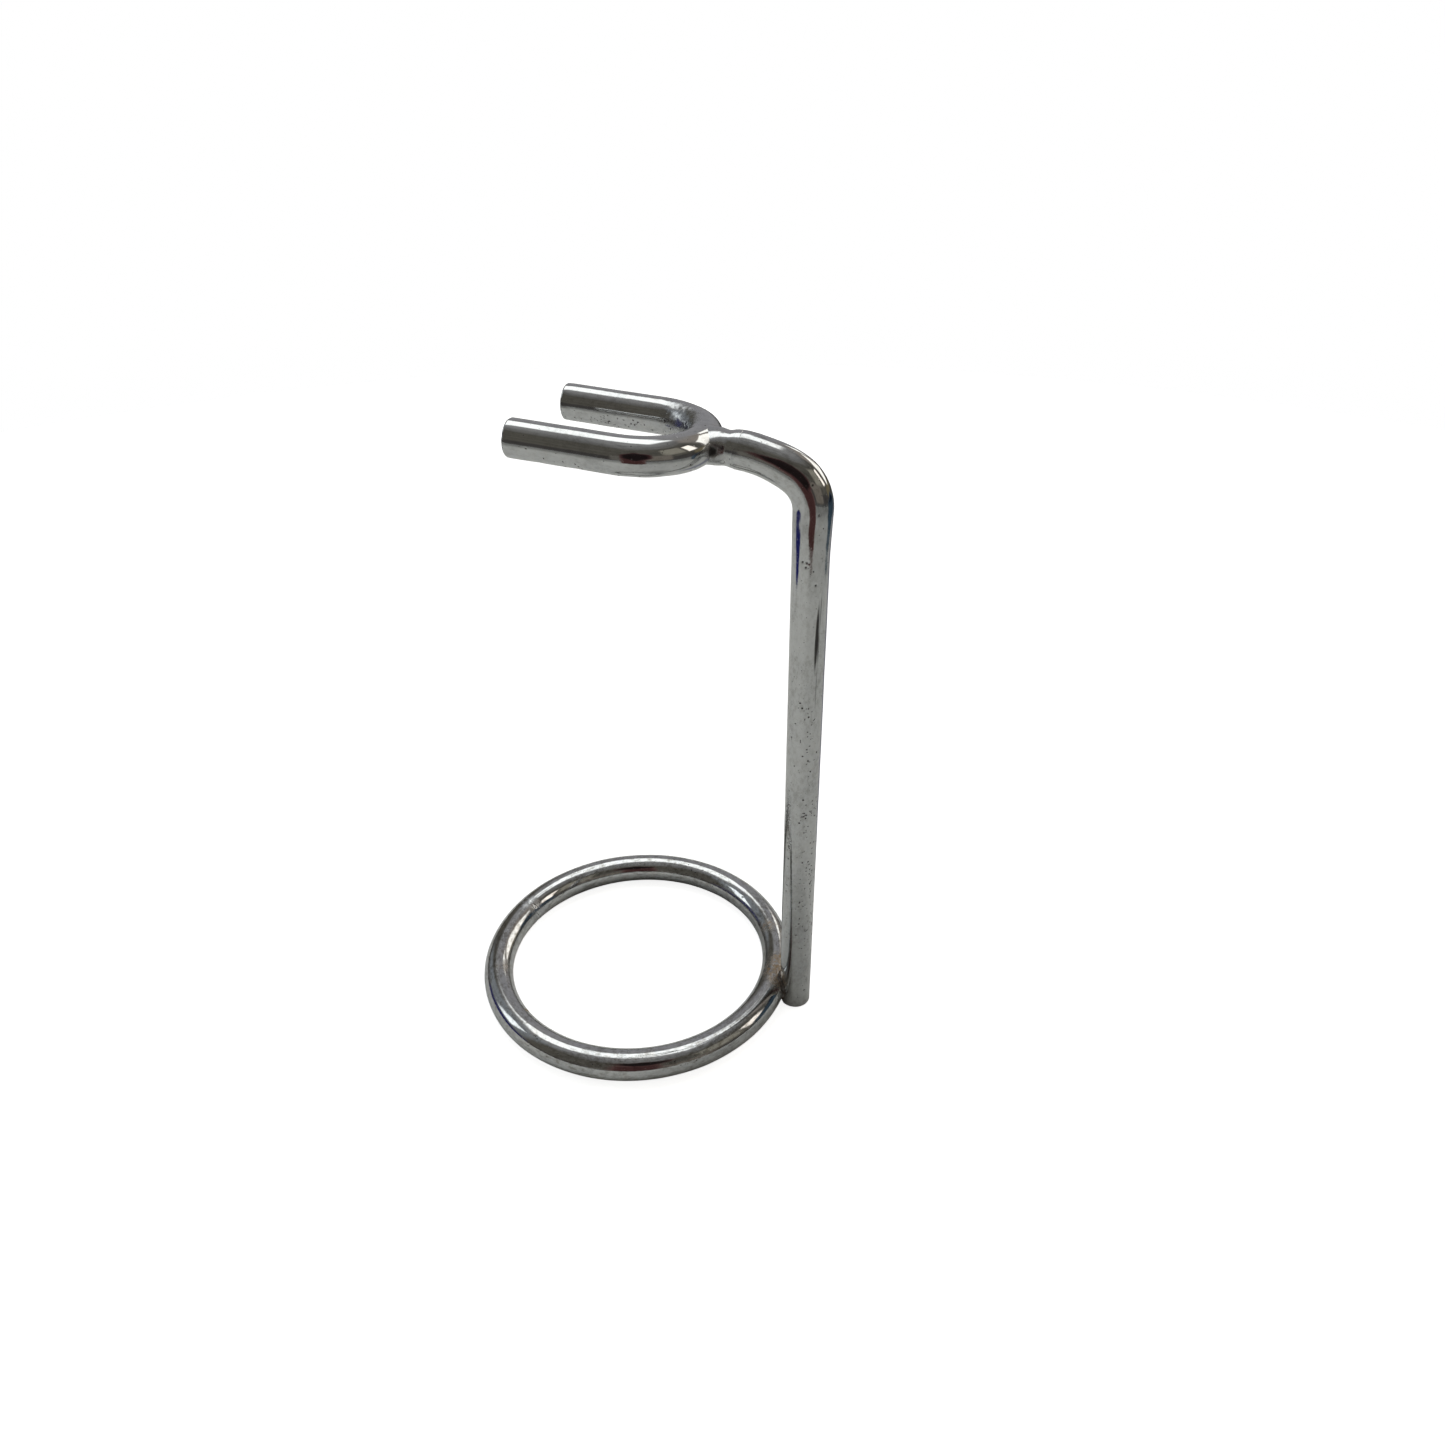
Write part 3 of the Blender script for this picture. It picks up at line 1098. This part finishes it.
def build_dark_card(card):
    """One of those dark things, hidden from the camera and from the light on the bench."""
    a = math.radians(card["azimuth"])
    middle = np.array([math.cos(a), math.sin(a)]) * card["distance"]
    across = np.array([-math.sin(a), math.cos(a)]) * card["width"] / 2
    levels = (card["bottom"] * MM, card["top"] * MM)
    corners = ((0, 0), (1, 0), (1, 1), (0, 1))
    spots = [(middle + across * (2 * right - 1)) * MM for right, _ in corners]
    places = [(x, y, levels[up]) for (x, y), (_, up) in zip(spots, corners)]
    mesh = bpy.data.meshes.new(card["name"])
    mesh.from_pydata(places, [], [(0, 1, 2, 3)])
    layer = mesh.uv_layers.new(name="card")
    for loop, corner in zip(layer.data, corners):
        loop.uv = corner
    mesh.materials.append(dark_card_material(card))
    thing = add_object(card["name"], mesh)
    thing.visible_camera = False
    thing.visible_diffuse = False
    thing.visible_shadow = False


# -------------------- camera

# Place in metres; azimuth 0 looks along +Y and 90 along -X; lens in millimetres
CAMERA_PLACE = (0.15113, 0.06283, 0.15816)
CAMERA_AZIMUTH = 106.27
CAMERA_DOWN = 31.27
CAMERA_ROLL = -0.59
CAMERA_LENS = 26.24


def build_camera():
    """The camera, above the stand and to its +X side."""
    data = bpy.data.cameras.new("camera")
    data.lens = CAMERA_LENS
    data.sensor_width = 36
    data.clip_start = 0.005
    data.clip_end = 20
    camera = add_object("camera", data)
    camera.location = CAMERA_PLACE
    turn = Euler((math.radians(90 - CAMERA_DOWN), 0, math.radians(CAMERA_AZIMUTH))).to_matrix()
    roll = Euler((0, 0, math.radians(CAMERA_ROLL))).to_matrix()
    camera.rotation_euler = (turn @ roll).to_euler()
    bpy.context.scene.camera = camera


# -------------------- scene

def build_stand():
    """All six pieces, each in its own metal."""
    hoop_plating = plated(
        "hoop_plating", roughness=0.06, haze_amount=0.6, peel=3.2, grain=6.0,
        specks=0.28, tint_amount=0.18, film=0.90)
    post_plating = plated(
        "post_plating", roughness=0.045, haze_amount=0.4, peel=2.2, grain=4.0,
        specks=0.45, tint_amount=0.08, film=0.48)
    fork_plating = plated(
        "fork_plating", roughness=0.045, haze_amount=0.5, peel=2.6, grain=3.0,
        specks=0.22, tint_amount=0.10, film=0.36)
    neck_plating = plated(
        "neck_plating", roughness=0.09, haze_amount=0.6, peel=9.0, grain=6.0,
        specks=0.20, tint_amount=0.15, film=0.30)
    build_hoop(hoop_plating)
    build_seam_weld(weld_metal("ground_weld", roughness=0.16, dirt=0.35))
    build_post(post_plating)
    build_fork(fork_plating)
    build_neck_weld(neck_plating)
    build_foot_weld(weld_metal("raw_weld", roughness=0.32, dirt=0.8))


build_stand()
build_world()
build_floor()
for dark_card in DARK_CARDS:
    build_dark_card(dark_card)
build_camera()
bpy.context.scene.view_settings.view_transform = "Standard"
